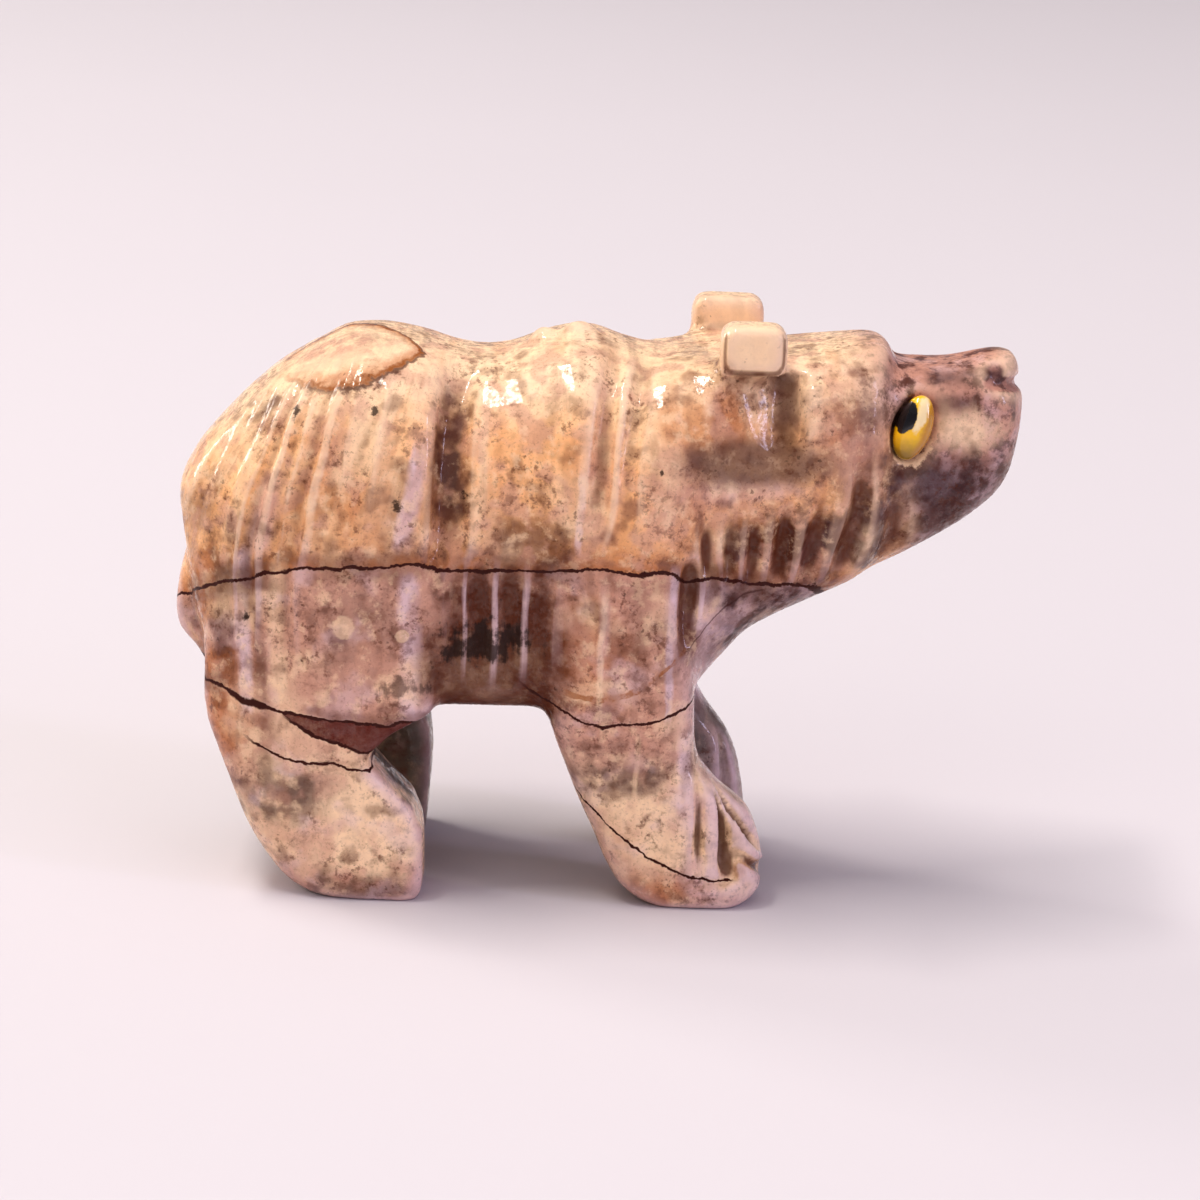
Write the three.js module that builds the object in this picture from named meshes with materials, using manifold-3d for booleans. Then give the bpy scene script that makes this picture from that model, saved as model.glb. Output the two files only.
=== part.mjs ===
// A small standing bear, carved from one block of banded stone and polished, with two yellow beads for
// eyes. It is worked as a stonecutter works it: a rounded slab for the body, legs and ears sawn square
// with softened edges, then rows of shallow flutes for the fur, ground in with a small wheel.
// Millimetres, +Z up, nose towards +X, soles on z = 0, the middle of the block on y = 0. The x of every
// dimension is counted from the carver's middle line, and the finished work is centred on its length.

import * as THREE from 'three';
import { mergeVertices } from 'three/addons/utils/BufferGeometryUtils.js';
import Module from 'manifold-3d';

// Driving dimensions
const RUMP_X = -30.2;
const NOSE_X = 29.35;
const BROW_X = 19.95;
const MUZZLE_X = 15;
const SPINE_Z = 27;
const LEG_GAP = 6.8;
const LEG_ROOT = 19.5;
const HALF_WIDTH = 11;
const RUMP_TURN = -18;
const FORE_END = 14;
const SKIN = 0.05;

// The body: its side outline as [x, z], its half width, the level where it is widest, and how square
// its section is above and below that level
const BODY = {
  top: [
    [RUMP_X, 28.2], [-29.3, 30.2], [-27, 33.1], [-23.9, 36.2], [-20.8, 38.2], [-18.4, 39.5], [-16.1, 39.6],
    [-13.7, 39.3], [-11.3, 38.6], [-7.9, 38.2], [-4.8, 39.4], [-1.4, 40.0], [1.6, 39.0], [3.7, 38.8],
    [6, 39.1], [12.6, 39.2], [14.2, 39.5], [16.5, 39.9], [18.3, 40.2], [19.3, 40.1], [BROW_X, 39.3],
  ],
  bottom: [
    [RUMP_X, 27.2], [-29.9, 25.2], [-29.4, 22.5], [-28.9, 19], [-28.2, 16], [-27, 14.2], [-22, 13.2],
    [-12, 13.6], [-4, 13.6], [3, 13.5], [6, 14.0], [7.8, 16.1], [9.3, 18.2], [10.8, 19.2], [13.1, 20.5],
    [16.2, 21.9], [18.4, 23.0], [BROW_X, 24.6],
  ],
  half: [
    [RUMP_X, 2.5], [-29.9, 3.6], [-29.4, 4.8], [-28.8, 5.9], [-28, 7.0], [-26.8, 8.2], [-25, 9.4],
    [-23, 10.2], [-20, 10.8], [-17, 11], [-12.9, 10.9], [-11.2, 10.2], [-8, 10.1], [-4, 10.2], [-1.5, 10.8],
    [2, 11], [4.5, 10.6], [6.5, 9.6], [8, 8.9], [11, 8.3], [15, 7.9], [17.7, 7.3], [19.1, 6.4],
    [BROW_X, 4.8],
  ],
  level: [[RUMP_X, 27.8], [-28, 26.5], [-20, 26], [0, 27], [8, 29], [BROW_X, 31]],
  above: [[RUMP_X, 2.2], [-20, 2.6], [0, 2.8], [5, 3.2], [8, 5], [13, 4.5], [17, 3.4], [BROW_X, 3]],
  below: [[RUMP_X, 2.4], [-28.5, 3.6], [-24, 5], [3, 5], [8, 3.4], [13, 3], [BROW_X, 2.6]],
};

// The same for the muzzle, which grows out of the face below the brow
const MUZZLE = {
  top: [
    [MUZZLE_X, 38], [19, 38.5], [21.1, 38.6], [23.8, 38.6], [25.4, 39.0], [26.9, 39.4], [28.1, 39.5],
    [28.7, 39.2], [29.1, 38.1], [NOSE_X, 36.5],
  ],
  bottom: [
    [MUZZLE_X, 22], [18.4, 23.0], [20.9, 24.2], [23.5, 25.7], [25.7, 27.1], [27.1, 28.3], [28.4, 29.8],
    [29.0, 31.5], [NOSE_X, 34.0],
  ],
  half: [
    [MUZZLE_X, 6.5], [18.5, 5.9], [20, 5.6], [22, 5.3], [24, 4.8], [26, 4.2], [27.5, 3.7], [28.4, 3.1],
    [29, 2.3], [NOSE_X, 1.2],
  ],
  level: [[MUZZLE_X, 32], [NOSE_X, 35.5]],
  above: [[MUZZLE_X, 3], [NOSE_X, 3]],
  below: [[MUZZLE_X, 2.6], [NOSE_X, 2.6]],
};

// Each leg from the sole up, as [z, distance]: its rear and front edge and its outer face
const HIND = {
  rear: [
    [0, -20], [0.5, -21.3], [1.7, -22.6], [4.6, -24.6], [9.1, -26.4], [12, -27.6], [13.5, -28.2],
    [15, -28.1], [17, -28.2], [LEG_ROOT, -28.4],
  ],
  outer: [[0, 9.8], [1.5, 10.2], [6, 10.3], [10, 10.6], [14, 10.85], [LEG_ROOT, 10.85]],
};
const HIND_FRONT_RIGHT = [
  [0, -12.4], [0.5, -12.1], [2.5, -12.0], [5.6, -12.2], [7.4, -13.2], [9.2, -15.2], [10.6, -16.2],
  [11.8, -15.4], [13.2, -12.8], [14.3, -11.3], [16, -11.3], [LEG_ROOT, -11.5],
];
const HIND_FRONT_LEFT = [
  [0, -12.4], [0.5, -12.1], [2.5, -11.9], [5.6, -11.7], [8.5, -11.8], [10.6, -12.5], [12.6, -12.4],
  [14.4, -11.6], [16, -11.3], [LEG_ROOT, -11.5],
];
const FORE = {
  rear: [
    [0, 4.1], [0.5, 2.9], [1.4, 1.8], [2.9, 0.8], [4.9, 0], [7.5, -1.3], [9.3, -2.0], [12.5, -3.3],
    [14.4, -3.9], [16, -3.3], [LEG_ROOT, -3],
  ],
  outer: [[0, 9.6], [1.5, 10], [6, 10.1], [10, 10.3], [14, 10.75], [LEG_ROOT, 10.75]],
};
const FORE_FRONT_RIGHT = [
  [0, 10.7], [0.7, 11.7], [2.2, 12.3], [3.8, 12.1], [5.6, 11.6], [7.4, 10.6], [8.8, 8.6], [10.2, 7.4],
  [12, 6.9], [14.5, 6.8], [LEG_ROOT, 6.4],
];
const FORE_FRONT_LEFT = [
  [0, 10.5], [0.7, 11.3], [2.2, 11.7], [4, 11.5], [6, 11.1], [8.2, 10.4], [9.8, 9.2], [11.2, 8],
  [12.6, 7.4], [14.5, 6.9], [LEG_ROOT, 6.4],
];
const HIND_SQUARE = { rear: 2.6, front: 8 };
const FORE_SQUARE = { rear: 4, front: 3.4 };

const TAIL_REAR = [[-28.6, 25.2], [-29.7, 23.2], [-30.3, 19.8], [-30.1, 17.6], [-28.8, 16.0], [-27.5, 13.7]];
const TAIL_ROOT = [[-25, 25.2], [-25, 13.7]];
const TAIL_WIDTH = 5;
const TAIL_EDGE = 0.9;

const EAR = { thickness: 3.3, apart: 14, base: 38, edge: 0.55, corner: 1 };
const RIGHT_EAR = { x: 9.65, length: 4.6, top: 42 };
const LEFT_EAR = { x: 8.6, length: 5.2, top: 41.4 };

const EYE = { x: 21.3, z: 34.6, wide: 1.3, high: 2.4, deep: 1.1, sink: 0.45, lean: 0.28, gap: 0.3 };

// Flutes over the body, each from its top to its bottom as [x, degrees round the spine from level].
// The right side has them all, the left side only the first `left` of each row.
const RUMP_FLUTES = {
  left: 4,
  row: [
    { line: [[-23.6, 60], [-26.4, 22], [-27.4, -42]], width: 2.7, depth: 0.55 },
    { line: [[-21.2, 62], [-24.2, 24], [-25.2, -46]], width: 2.5, depth: 0.55 },
    { line: [[-19.0, 62], [-21.7, 26], [-22.7, -46]], width: 2.5, depth: 0.5 },
    { line: [[-26.2, 50], [-28.2, 18], [-29.0, -25]], width: 2.4, depth: 0.45 },
    { line: [[-16.8, 54], [-19.1, 12], [-19.9, -26]], width: 2.3, depth: 0.35 },
  ],
};
const FLANK_FLUTES = {
  left: 3,
  row: [
    { line: [[-11, 72], [-11.3, 35], [-11.5, -12]], width: 2, depth: 0.85 },
    { line: [[0.5, 80], [-0.4, 40], [-1.1, 6]], width: 1.9, depth: 0.6 },
    { line: [[2.5, 80], [1.6, 40], [0.9, 6]], width: 1.9, depth: 0.5 },
    { line: [[-9.6, 70], [-9.7, 35], [-9.7, -4]], width: 2.2, depth: 0.45 },
  ],
};
const BELLY_FLUTES = {
  left: 5,
  row: [
    { line: [[-8.8, -10], [-8.8, -48]], width: 2.3, depth: 0.5 },
    { line: [[-6.5, -10], [-6.5, -48]], width: 2.3, depth: 0.5 },
    { line: [[-4.1, -12], [-4.2, -46]], width: 2.3, depth: 0.4 },
    { line: [[2.4, -9], [2.3, -47]], width: 4.4, depth: 0.55 },
    { line: [[5.9, -8], [5.8, -38]], width: 1.9, depth: 0.7 },
    { line: [[-1.5, -12], [-1.6, -46]], width: 2.7, depth: 0.4 },
  ],
};
const MANE_FLUTES = {
  left: 5,
  row: [
    { line: [[17.7, 44], [17.6, 10], [16.4, -30]], width: 2.2, depth: 0.75 },
    { line: [[15.1, 20], [14.9, 5], [14.1, -29]], width: 2, depth: 0.6 },
    { line: [[12.6, 15], [12.1, -25]], width: 2, depth: 0.6 },
    { line: [[10.2, 9], [10.2, -22]], width: 1.5, depth: 0.45 },
    { line: [[8.6, 9], [8.7, -20]], width: 1.5, depth: 0.45 },
    { line: [[7.1, 7], [7.1, -18]], width: 1.4, depth: 0.4 },
  ],
};
const NECK_SCOOPS = { left: 1, row: [{ line: [[11, 66], [11.4, 48], [12.2, 33]], width: 4.4, depth: 1.1 }] };

// Grooves that run round an upright axis, as [degrees outward from straight ahead, height]
const FOREFOOT = { x: 5.5, y: 6.6 };
const TOE_GROOVES = {
  left: 3,
  row: [
    { line: [[60, 9.8], [60, 2.4]], width: 1.3, depth: 0.5 },
    { line: [[37, 8.4], [38, 1.9]], width: 1.5, depth: 0.75 },
    { line: [[22, 9.3], [25, 6.9], [4, 3.8]], width: 1.3, depth: 0.5 },
  ],
};
const NOSE = { x: 25.5, y: 0 };
const NOSE_GROOVES = { left: 1, row: [{ line: [[80, 37.7], [30, 37.4], [-15, 37.2]], width: 1.2, depth: 0.4 }] };

// How finely the shapes are faceted: the sides of each round section, the stations of its rings as
// [from, to, steps], and the segments of the small edges and corners
const SIDES = { body: 24, muzzle: 18, leg: 16, bead: 14, rod: 5 };
const BODY_RINGS = {
  rump: [RUMP_X, -21, 6],
  hip: [-18.5, -13, 2],
  trunk: [-11.5, 6.2, 8],
  neck: [7.8, 15, 3],
  brow: [16.7, BROW_X, 4],
};
const MUZZLE_RINGS = [18.5, NOSE_X, 9];
const SOLE_RINGS = [0, 0.5];
const LEG_RINGS = [1.5, LEG_ROOT, 10];
const PLAN_STEPS = 7;
const BEAD_RINGS = 9;
const EDGE_SEGMENTS = 2;
const CORNER_SEGMENTS = 3;
const WELD = 1e-4;

// A groove's path is sounded from outside the block at a few places. The higher `fade`, the later it runs
// out at its ends, and `lift` is how far those ends stay clear of the surface
const GROOVE = { from: 60, samples: 6, fade: 3, lift: 0.02, long: 9, longSteps: 5, shortSteps: 3 };

const wasm = await Module();
wasm.setup();

// One smooth curve through [station, value] pairs
function curve(pairs) {
  const stations = pairs.map((pair) => pair[0]);
  const values = pairs.map((pair) => pair[1]);
  const interpolant = new THREE.CubicInterpolant(stations, values, 1);
  return (x) => interpolant.evaluate(x)[0];
}

const curves = (lines) => Object.fromEntries(Object.entries(lines).map(([name, pairs]) => [name, curve(pairs)]));

// A closed three.js geometry as a solid that can be cut and joined
function solid(geometry) {
  const bare = geometry.clone();
  bare.deleteAttribute('normal');
  bare.deleteAttribute('uv');
  const merged = mergeVertices(bare, WELD);
  return new wasm.Manifold(new wasm.Mesh({
    numProp: 3,
    vertProperties: merged.attributes.position.array,
    triVerts: new Uint32Array(merged.index.array),
  }));
}

// A solid's surface as a three.js geometry again
function geometryOf(manifold) {
  const { vertProperties, triVerts } = manifold.getMesh();
  const geometry = new THREE.BufferGeometry();
  geometry.setAttribute('position', new THREE.BufferAttribute(new Float32Array(vertProperties), 3));
  geometry.setIndex(new THREE.BufferAttribute(new Uint32Array(triVerts), 1));
  geometry.computeVertexNormals();
  return geometry;
}

// Evenly spaced values from one to another, drawn together at an end if `ease` says so
function steps(from, to, count, ease = (t) => t) {
  return Array.from({ length: count + 1 }, (_, k) => from + (to - from) * ease(k / count));
}

const easeStart = (t) => 1 - Math.cos((t * Math.PI) / 2);
const easeEnd = (t) => Math.sin((t * Math.PI) / 2);

// How far out a section reaches in one direction: a circle at power 2, nearly a square at 5
const reach = (value, power) => Math.sign(value) * Math.abs(value) ** (2 / power);

// A rounded mass: a sphere whose rings are moved to the section wanted at each station
function mass(stations, sides, place) {
  const geometry = new THREE.SphereGeometry(1, sides, stations.length + 1);
  const position = geometry.attributes.position;
  for (let i = 0; i < position.count; i++) {
    const row = Math.floor(i / (sides + 1));
    const station = stations[THREE.MathUtils.clamp(row - 1, 0, stations.length - 1)];
    const turn = (2 * Math.PI * ((i % (sides + 1)) % sides)) / sides;
    const pole = row === 0 || row === stations.length + 1;
    const across = pole ? 0 : -Math.cos(turn);
    const up = pole ? 0 : Math.sin(turn);
    position.setXYZ(i, ...place(station, across, up));
  }
  return solid(geometry);
}

// A mass along X between two side outlines
function alongX(stations, sides, lines) {
  const { top, bottom, half, level, above, below } = curves(lines);
  return mass(stations, sides, (x, across, up) => {
    const power = up > 0 ? above(x) : below(x);
    const height = up > 0 ? top(x) - level(x) : level(x) - bottom(x);
    return [x, reach(across, power) * half(x), level(x) + reach(up, power) * height];
  });
}

function body() {
  const { rump, hip, trunk, neck, brow } = BODY_RINGS;
  const stations = [
    ...steps(...rump, easeStart),
    ...steps(...hip),
    ...steps(...trunk),
    ...steps(...neck),
    ...steps(...brow, easeEnd),
  ];
  return alongX(stations, SIDES.body, BODY);
}

function muzzle() {
  return alongX([MUZZLE_X, ...steps(...MUZZLE_RINGS, easeEnd)], SIDES.muzzle, MUZZLE);
}

// A leg standing on its flat sole and ending inside the body
function leg(lines, frontLine, square, side) {
  const { rear, front, outer } = curves({ ...lines, front: frontLine });
  return mass([...SOLE_RINGS, ...steps(...LEG_RINGS)], SIDES.leg, (z, along, outward) => {
    const middle = (rear(z) + front(z)) / 2;
    const thick = (outer(z) - LEG_GAP / 2) / 2;
    const power = along > 0 ? square.front : square.rear;
    const x = middle + reach(along, power) * (front(z) - middle);
    const y = side * (LEG_GAP / 2 + thick) + reach(outward, power) * thick;
    return [x, y, z];
  });
}

// The block seen from above: what the legs may fill, so that they follow the rump round
function planBlock() {
  const half = curve(BODY.half);
  const limit = (x) => (x < RUMP_TURN ? half(x) - SKIN : HALF_WIDTH);
  const xs = [...steps(RUMP_X, RUMP_TURN, PLAN_STEPS, easeStart), FORE_END];
  const shape = new THREE.Shape();
  shape.moveTo(RUMP_X, -limit(RUMP_X));
  xs.slice(1).forEach((x) => shape.lineTo(x, -limit(x)));
  [...xs].reverse().forEach((x) => shape.lineTo(x, limit(x)));
  return solid(new THREE.ExtrudeGeometry(shape, { depth: SPINE_Z, bevelEnabled: false }));
}

function legs() {
  const all = [
    leg(HIND, HIND_FRONT_RIGHT, HIND_SQUARE, -1),
    leg(HIND, HIND_FRONT_LEFT, HIND_SQUARE, 1),
    leg(FORE, FORE_FRONT_RIGHT, FORE_SQUARE, -1),
    leg(FORE, FORE_FRONT_LEFT, FORE_SQUARE, 1),
  ];
  return wasm.Manifold.union(all).intersect(planBlock());
}

// A slab of a side outline between two distances from the middle plane, with rounded edges
function slab(shape, near, far, edge) {
  const geometry = new THREE.ExtrudeGeometry(shape, {
    depth: far - near - 2 * edge,
    bevelThickness: edge,
    bevelSize: edge,
    bevelOffset: -edge,
    bevelSegments: EDGE_SEGMENTS,
    curveSegments: CORNER_SEGMENTS,
  });
  geometry.rotateX(Math.PI / 2);
  geometry.translate(0, far - edge, 0);
  return solid(geometry);
}

function tail() {
  const shape = new THREE.Shape();
  shape.moveTo(...TAIL_ROOT[0]);
  shape.lineTo(...TAIL_REAR[0]);
  shape.splineThru(TAIL_REAR.slice(1).map((point) => new THREE.Vector2(...point)));
  shape.lineTo(...TAIL_ROOT[1]);
  return slab(shape, -TAIL_WIDTH / 2, TAIL_WIDTH / 2, TAIL_EDGE);
}

function ear({ x, length, top }, side) {
  const { thickness, apart, base, edge, corner } = EAR;
  const [left, right] = [x - length / 2, x + length / 2];
  const shape = new THREE.Shape();
  shape.moveTo(left + corner, base);
  shape.lineTo(right - corner, base);
  shape.absarc(right - corner, base + corner, corner, -Math.PI / 2, 0);
  shape.lineTo(right, top - corner);
  shape.absarc(right - corner, top - corner, corner, 0, Math.PI / 2);
  shape.lineTo(left + corner, top);
  shape.absarc(left + corner, top - corner, corner, Math.PI / 2, Math.PI);
  shape.lineTo(left, base + corner);
  shape.absarc(left + corner, base + corner, corner, Math.PI, 1.5 * Math.PI);
  const middle = (side * apart) / 2;
  return slab(shape, middle - thickness / 2, middle + thickness / 2, edge);
}

// An oval bead on the side of the muzzle, or with a gap the socket that it sits in
function bead(side, gap = 0) {
  const geometry = new THREE.SphereGeometry(1, SIDES.bead, BEAD_RINGS);
  geometry.scale(EYE.wide + gap, EYE.deep + gap, EYE.high + gap);
  geometry.rotateY(EYE.lean);
  geometry.translate(EYE.x, side * (curve(MUZZLE.half)(EYE.x) - EYE.sink), EYE.z);
  return geometry;
}

const block = wasm.Manifold.union([
  body(),
  muzzle(),
  legs(),
  tail(),
]);
const blockMesh = new THREE.Mesh(geometryOf(block));
const raycaster = new THREE.Raycaster();

// A wheel-cut groove: a rod swept over the block's surface, sunk to `depth` in the middle of its run
// and lifted clear at both ends. `aim` turns a waypoint into an inner point and an outward direction.
function groove({ line, width, depth }, aim) {
  const radius = width ** 2 / (8 * depth) + depth / 2;
  const run = new THREE.CatmullRomCurve3(line.map(([a, b]) => new THREE.Vector3(a, b, 0)));
  const points = steps(0, 1, GROOVE.samples).map((t) => {
    const [inner, outward] = aim(run.getPointAt(t));
    raycaster.set(outward.clone().multiplyScalar(GROOVE.from).add(inner), outward.clone().negate());
    const { point, normal } = raycaster.intersectObject(blockMesh)[0];
    const sink = depth * (1 - Math.abs(2 * t - 1) ** GROOVE.fade) - GROOVE.lift;
    return point.addScaledVector(normal, radius - sink);
  });
  const rod = new THREE.Shape();
  rod.absarc(0, 0, radius, 0, 2 * Math.PI);
  const path = new THREE.CatmullRomCurve3(points);
  const pieces = path.getLength() > GROOVE.long ? GROOVE.longSteps : GROOVE.shortSteps;
  return solid(new THREE.ExtrudeGeometry(rod, { steps: pieces, curveSegments: SIDES.rod, extrudePath: path }));
}

const roundSpine = (side) => ({ x, y }) => {
  const angle = THREE.MathUtils.degToRad(y);
  return [new THREE.Vector3(x, 0, SPINE_Z), new THREE.Vector3(0, side * Math.cos(angle), Math.sin(angle))];
};

const roundPost = (post, side) => ({ x, y }) => {
  const angle = THREE.MathUtils.degToRad(x);
  return [new THREE.Vector3(post.x, side * post.y, y), new THREE.Vector3(Math.cos(angle), side * Math.sin(angle), 0)];
};

function grooves({ row, left }, side, aim) {
  return (side < 0 ? row : row.slice(0, left)).map((one) => groove(one, aim));
}

const cuts = [-1, 1].flatMap((side) => [
  ...[RUMP_FLUTES, FLANK_FLUTES, BELLY_FLUTES, MANE_FLUTES, NECK_SCOOPS].flatMap((rows) => {
    return grooves(rows, side, roundSpine(side));
  }),
  ...grooves(TOE_GROOVES, side, roundPost(FOREFOOT, side)),
  ...grooves(NOSE_GROOVES, side, roundPost(NOSE, side)),
  solid(bead(side, EYE.gap)),
]);
const carved = wasm.Manifold.union([
  block.subtract(wasm.Manifold.union(cuts)),
  ear(RIGHT_EAR, -1),
  ear(LEFT_EAR, 1),
]);

const stone = new THREE.MeshStandardMaterial({ color: 0xc79f82, roughness: 0.25, metalness: 0 });
const yellow = new THREE.MeshStandardMaterial({ color: 0xe0a800, roughness: 0.1, metalness: 0 });

function named(name, geometry, material) {
  const mesh = new THREE.Mesh(geometry, material);
  mesh.name = name;
  return mesh;
}

const group = new THREE.Group();
group.add(named('bear', geometryOf(carved), stone));
group.add(named('right_eye', geometryOf(solid(bead(-1))), yellow));
group.add(named('left_eye', geometryOf(solid(bead(1))), yellow));

// The origin goes under the middle of the whole length
const { min, max } = new THREE.Box3().setFromObject(group);
group.position.x = -(min.x + max.x) / 2;

export default group;
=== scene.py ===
"""A small bear carved from one block of banded stone and polished, with two yellow bead eyes.

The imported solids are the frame. The stone is re-cut here on a fine mesh: the solid's facets are
polished away, then the fur is ground in again as rows of wheel-cut flutes, and the banding, veins and
specks of the stone are worked out through the whole block, so that they agree on every side.
Carver's millimetres are counted as the block was marked out: x from the carver's middle line towards
the nose, y away from the bear's right side, z up from the soles.
"""

import math

import bmesh
import bpy
import numpy as np
from bpy.props import FloatProperty, FloatVectorProperty, IntProperty, PointerProperty
from mathutils import Matrix, Vector


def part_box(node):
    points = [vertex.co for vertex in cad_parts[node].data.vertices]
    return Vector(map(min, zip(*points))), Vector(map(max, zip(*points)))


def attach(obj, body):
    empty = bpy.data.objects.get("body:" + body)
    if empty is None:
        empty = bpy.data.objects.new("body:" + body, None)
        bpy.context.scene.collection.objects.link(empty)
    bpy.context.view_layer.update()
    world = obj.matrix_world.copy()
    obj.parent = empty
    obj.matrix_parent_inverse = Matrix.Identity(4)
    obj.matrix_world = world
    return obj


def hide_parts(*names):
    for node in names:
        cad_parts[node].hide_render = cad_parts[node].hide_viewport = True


bl_info = {
    "name": "Stone bear",
    "version": (1, 0, 0),
    "blender": (4, 5, 0),
    "location": "3D View > Sidebar > Stone bear",
    "description": "Polishes and colours a small carved stone bear around its solids",
    "category": "Object",
}

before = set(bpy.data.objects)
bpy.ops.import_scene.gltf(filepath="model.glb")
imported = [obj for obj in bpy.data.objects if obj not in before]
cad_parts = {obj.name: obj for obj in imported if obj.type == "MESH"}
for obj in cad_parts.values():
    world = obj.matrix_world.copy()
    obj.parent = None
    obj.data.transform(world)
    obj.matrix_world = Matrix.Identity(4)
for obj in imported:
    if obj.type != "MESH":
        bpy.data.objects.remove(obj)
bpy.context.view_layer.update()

MM = 0.001
BODY = "root"

# Where the carver's marks lie in the frame: the nose's tip is the furthest point forward
NOSE_TIP = 29.35
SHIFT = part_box("bear")[1].x / MM - NOSE_TIP
SPINE_Z = 27

# Wheel-cut flutes over the body, each from its top to its bottom as (x, degrees round the spine from
# level), with its width at both ends and its depth
RUMP_FLUTES = [
    ([(-22.6, 70), (-26.4, 22), (-27.4, -48)], (1.2, 2.5), 0.34),
    ([(-20.2, 76), (-23.9, 24), (-24.8, -57)], (1, 1.5), 0.42),
    ([(-18.3, 70), (-20.9, 27), (-22.3, -57)], (1.3, 1.7), 0.34),
    ([(-26.2, 52), (-28.2, 18), (-29, -28)], (1.2, 2), 0.3),
    ([(-17.2, 66), (-19.3, 20), (-20.2, -30)], (0.9, 1.6), 0.24),
    ([(-21.4, 75), (-25.1, 24), (-26.1, -57)], (0.9, 1.3), 0.34),
    ([(-19.2, 75), (-22.3, 26), (-23.4, -40)], (0.8, 1.3), 0.3),
    ([(-16.2, 62), (-17.7, 14), (-18.4, -4)], (1.5, 2.8), 0.24),
    ([(-24.2, 66), (-27.4, 20), (-28.3, -20)], (0.9, 1.2), 0.24),
    ([(-14.6, 58), (-15.4, 22), (-15.7, 6)], (1.1, 1.8), 0.16),
]
FLANK_FLUTES = [
    ([(-10.4, 70), (-10.8, 35), (-11.1, -14)], (2.6, 2.9), 0.8),
    ([(0.5, 78), (-0.4, 36), (-1.4, -7)], (1.3, 2.2), 0.6),
    ([(2.4, 78), (1.5, 36), (0.6, -7)], (1, 1.8), 0.5),
    ([(-14.6, 60), (-14.8, 30), (-14.9, -4)], (1, 1.7), 0.2),
    ([(5.4, 60), (5.5, 40), (5.6, 22)], (1.6, 2), 0.16),
]
BELLY_FLUTES = [
    ([(-8.6, -8), (-8.6, -50)], (1.9, 1.8), 0.42),
    ([(-6.6, -8), (-6.6, -50)], (1.7, 1.6), 0.42),
    ([(-4.5, -9), (-4.6, -49)], (1.9, 1.7), 0.36),
    ([(2.4, -8), (2.3, -50)], (4.2, 4.4), 0.26),
    ([(5.9, -7), (5.8, -40)], (1.5, 1.5), 0.6),
    ([(-1.5, -9), (-1.6, -49)], (2.6, 2.6), 0.2),
    ([(-10.3, -8), (-10.3, -50)], (1.4, 1.2), 0.28),
    ([(7.5, -9), (7.3, -34)], (1.1, 1.2), 0.3),
]
MANE_FLUTES = [
    ([(17.7, 46), (17.6, 10), (16.4, -32)], (1.6, 2.2), 0.75),
    ([(15.2, 30), (14.9, 5), (14.1, -30)], (1.4, 2), 0.6),
    ([(12.7, 25), (12.1, -27)], (1.5, 1.9), 0.6),
    ([(10.3, 17), (10.2, -24)], (1.3, 1.4), 0.5),
    ([(8.7, 16), (8.7, -22)], (1.2, 1.3), 0.45),
    ([(7.1, 13), (7.1, -20)], (1.2, 1.3), 0.45),
    ([(20.3, 40), (20.6, 10), (20.3, -26)], (1.3, 2.4), 0.55),
]
BROW_FLUTES = [
    ([(10.6, 50), (14, 58), (18.6, 66)], (1.2, 1.3), 0.22),
    ([(12.6, 46), (15.6, 53), (19.2, 60)], (1.1, 1.2), 0.2),
    ([(13.2, 40), (16.4, 46), (19.4, 53)], (1.1, 1.2), 0.18),
]

# Each row with how dark the deepest part of its flutes is painted, for dirt and for the shade that
# falls in them, and how slowly the wheel bites at their tops: 1 is as quick as at their bottoms
FLUTE_ROWS = [
    (RUMP_FLUTES, 1.6, 0.9),
    (FLANK_FLUTES, 0.3, 1),
    (BELLY_FLUTES, 3.8, 1),
    (MANE_FLUTES, 2.2, 1.5),
    (BROW_FLUTES, 3, 1),
]

# How many flutes of each row the left side has at most
LEFT_COUNT = 5

# How far the hand wanders off a flute's line and how unevenly it presses, and over what distance
FLUTE_SHAKE = 0.22
SHAKE_SIZE = 1.6
PRESS_SHAKE = 0.35
PRESS_SIZE = 2.4
PRESS_SHIFT = (40, 0, 0)

# Grooves between the toes run down round an upright post in the forefoot, as (degrees outward from
# straight ahead, height). The toes end above the sole, along lines of (height, degrees outward).
FOREFOOT = (5.5, 6.6)
FOOT_TOP = 11
TOE_GROOVES = [
    ([(60, 10.4), (60, 2.3)], (0.5, 0.9), 0.6),
    ([(36, 8.8), (38, 2)], (0.5, 1), 1.2),
    ([(22, 9.3), (25, 6.9), (4, 3.8)], (0.4, 0.9), 0.9),
    ([(-26, 9), (-32, 2.4)], (0.6, 1.2), 0.5),
]
TOE_ENDS = [
    ([(2.2, 68), (2, 50), (2.1, 35)], (0.5, 0.9), 0.45),
    ([(4.6, 39), (3.3, 20), (2.2, -8)], (1.3, 1), 0.8),
]

# How dark the cuts between the toes and where the toes end are painted, for dirt and for the shade
# that falls in them, for each millimetre below the depth to which they stay undarkened
TOE_DIRT_AND_SHADE = 2.6
UNDARKENED_GROOVE = 0.4
UNDARKENED_END = 0.45

# The nostril slit runs round an upright post in the nose, as (height, degrees outward from straight
# ahead). It is cut no further back and no further across the middle than these.
NOSE_POST = (25.5, 0)
NOSE_BACK = 24
NOSE_ACROSS = -2
NOSTRIL_SLITS = [([(37.7, 80), (37.4, 30), (37.2, -15)], (0.9, 1.3), 0.45)]

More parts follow.
